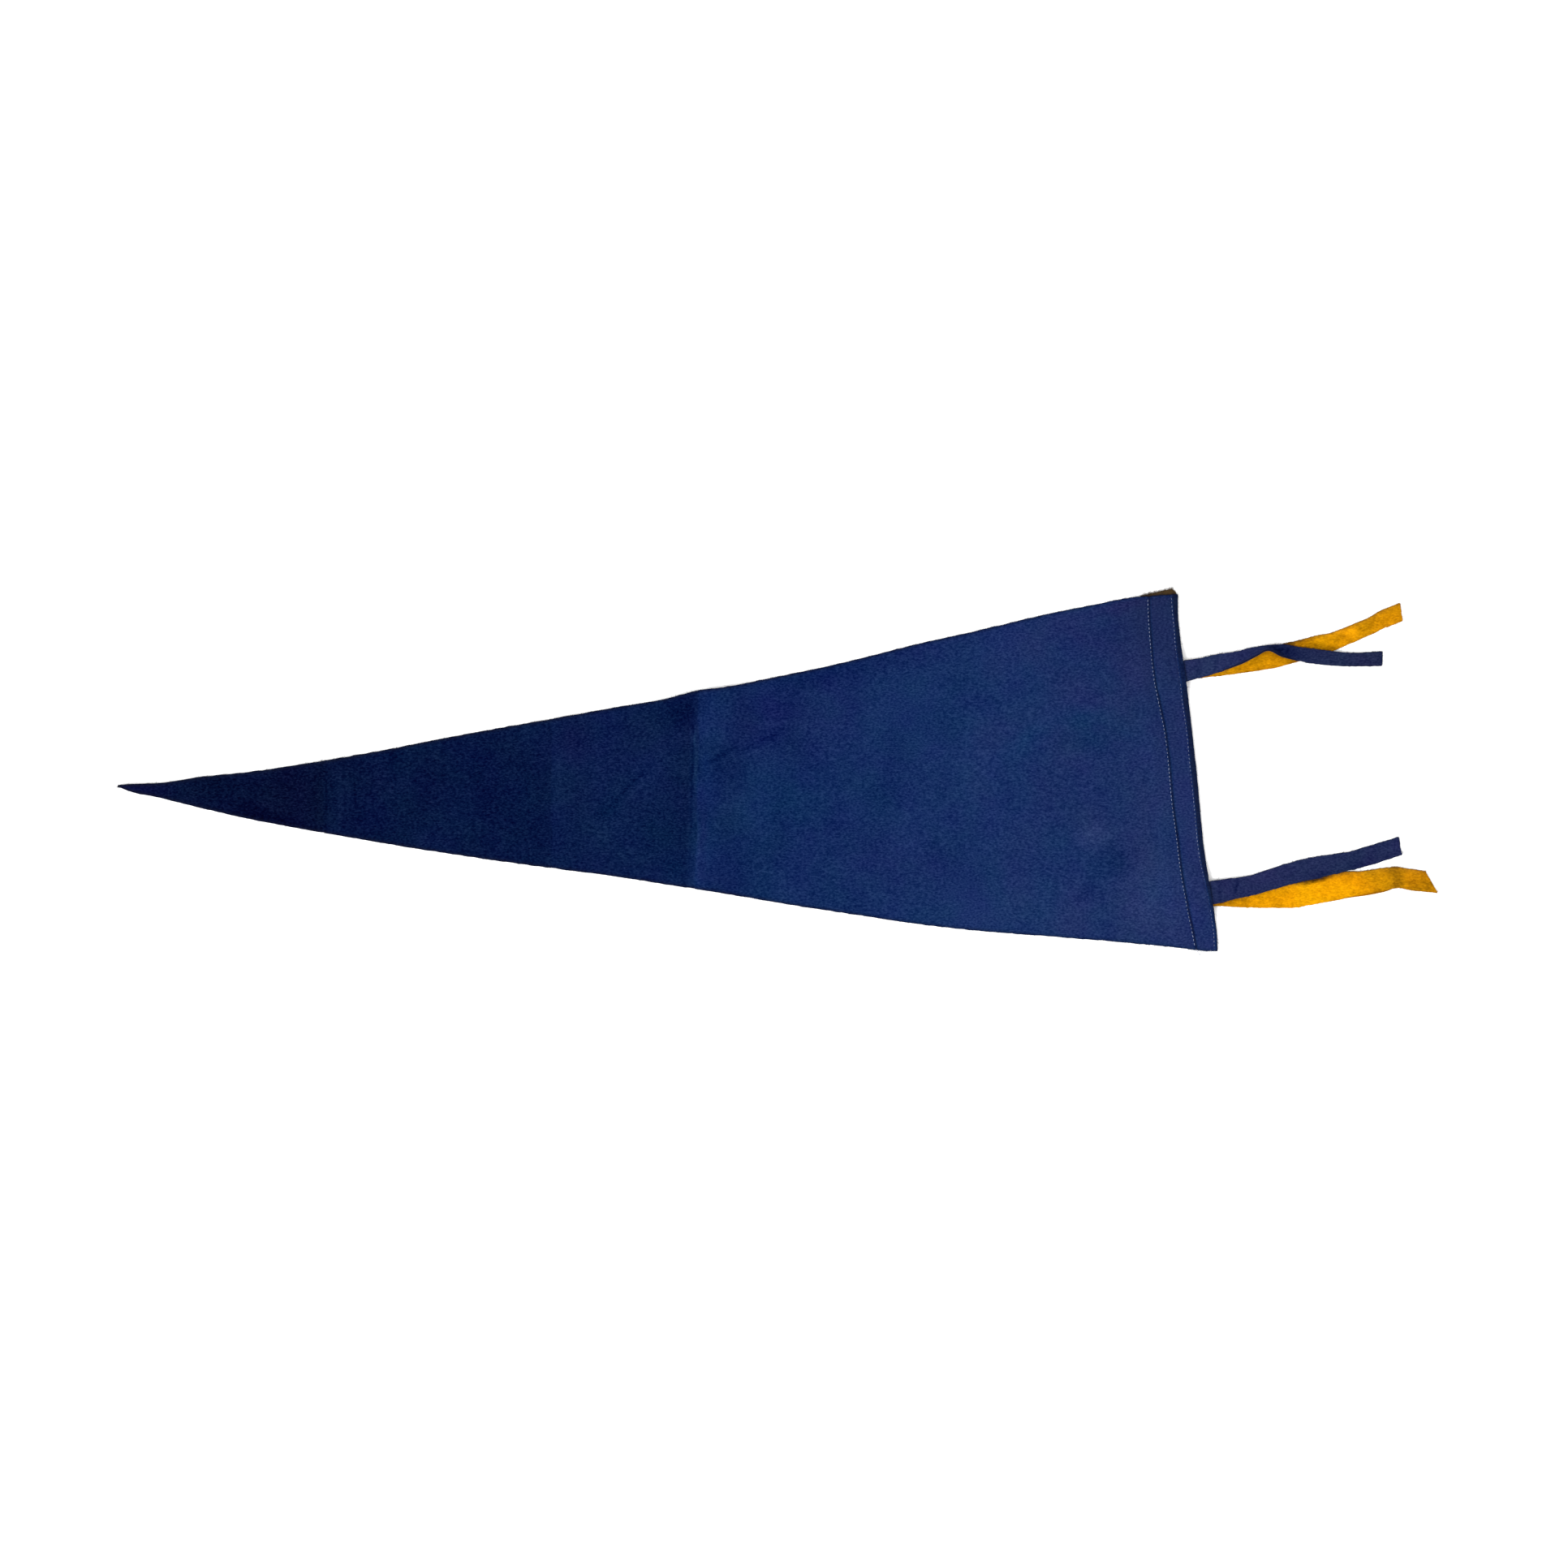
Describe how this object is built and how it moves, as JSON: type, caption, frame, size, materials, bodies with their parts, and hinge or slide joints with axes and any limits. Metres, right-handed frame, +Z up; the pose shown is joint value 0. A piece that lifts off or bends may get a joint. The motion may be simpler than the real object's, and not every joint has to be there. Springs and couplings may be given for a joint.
{
  "type": "pennant flag",
  "caption": "Long triangular felt pennant lying back side up, with a sewn heading strip and paired felt ties along its short edge.",
  "frame": {"origin": "middle of the heading strip's underside, on the surface that the pennant lies on", "axes": "+X along the pennant from its tip towards the ties, +Y up along the short edge, +Z up from the surface, out of the pennant's back"},
  "size_m": [0.8697, 0.2391, 0.0092],
  "materials": {
    "navy_felt": "matt wool felt, napped",
    "blue_tie_felt": "matt wool felt, napped",
    "gold_felt": "matt wool felt, napped",
    "seam_thread": "matt cotton sewing thread"
  },
  "bodies": {
    "root": {"panel": "navy_felt", "heading_strip": "gold_felt", "tie_upper_gold": "gold_felt", "tie_upper_blue": "blue_tie_felt", "tie_lower_gold": "gold_felt", "tie_lower_blue": "blue_tie_felt"}
  },
  "joints": []
}
